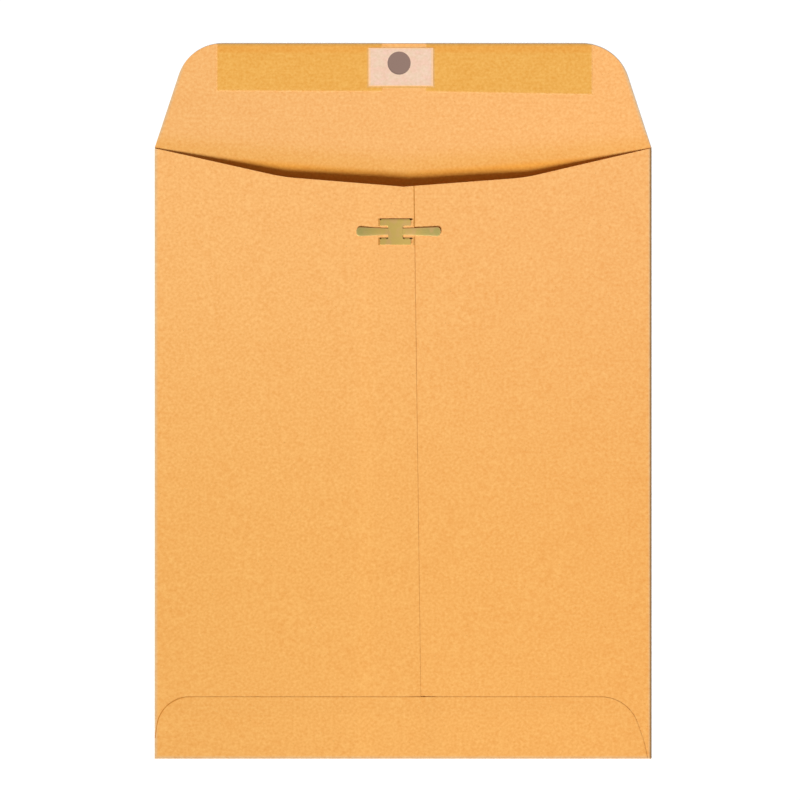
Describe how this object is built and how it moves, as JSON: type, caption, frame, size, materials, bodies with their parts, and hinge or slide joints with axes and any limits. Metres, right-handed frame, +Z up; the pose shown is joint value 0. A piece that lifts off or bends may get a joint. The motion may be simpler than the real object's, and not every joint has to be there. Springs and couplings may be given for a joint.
{
  "type": "clasp envelope",
  "caption": "Kraft paper clasp envelope with an open seal flap, gum strips, a reinforced hole, a lapped centre seam and a two-prong metal clasp.",
  "frame": {"origin": "on the table, under the middle of the overall length and width with the seal flap open", "axes": "+X across the envelope to the right, +Y up towards the seal flap, +Z up from the front panel, which lies on the table"},
  "size_m": [0.2476, 0.3568, 0.0062],
  "materials": {
    "kraft_paper": "uncoated golden kraft with fine fibre mottling",
    "dried_gum": "thin dried gum film, slight sheen",
    "patch_paper": "thin pale tissue patch",
    "paper_glue": "dried adhesive",
    "clasp_brass": "dull brass-plated sheet, olive tone"
  },
  "bodies": {
    "pocket": {"front_panel": "kraft_paper", "left_side_fold": "kraft_paper", "right_side_fold": "kraft_paper", "right_back_panel": "kraft_paper", "left_back_panel": "kraft_paper", "centre_seam_glue": "paper_glue", "bottom_flap": "kraft_paper", "bottom_flap_glue": "paper_glue", "bottom_fold": "kraft_paper", "clasp_base": "clasp_brass"},
    "flap": {"seal_flap": "kraft_paper", "flap_gum_left": "dried_gum", "flap_gum_right": "dried_gum", "hole_patch": "patch_paper"},
    "prong_left": {"left_prong": "clasp_brass"},
    "prong_right": {"right_prong": "clasp_brass"}
  },
  "joints": [
    {"name": "flap_crease", "type": "hinge", "parent": "pocket", "child": "flap", "pos_m": [0, 0.12645, 0.0004], "axis": [1, 0, 0], "range_deg": [0, 164]},
    {"name": "left_prong_bend", "type": "hinge", "parent": "pocket", "child": "prong_left", "pos_m": [-0.0073, 0.08445, 0.00621], "axis": [0, 1, 0], "range_deg": [0, 101]},
    {"name": "right_prong_bend", "type": "hinge", "parent": "pocket", "child": "prong_right", "pos_m": [-0.0001, 0.08445, 0.00621], "axis": [0, -1, 0], "range_deg": [0, 101]}
  ]
}
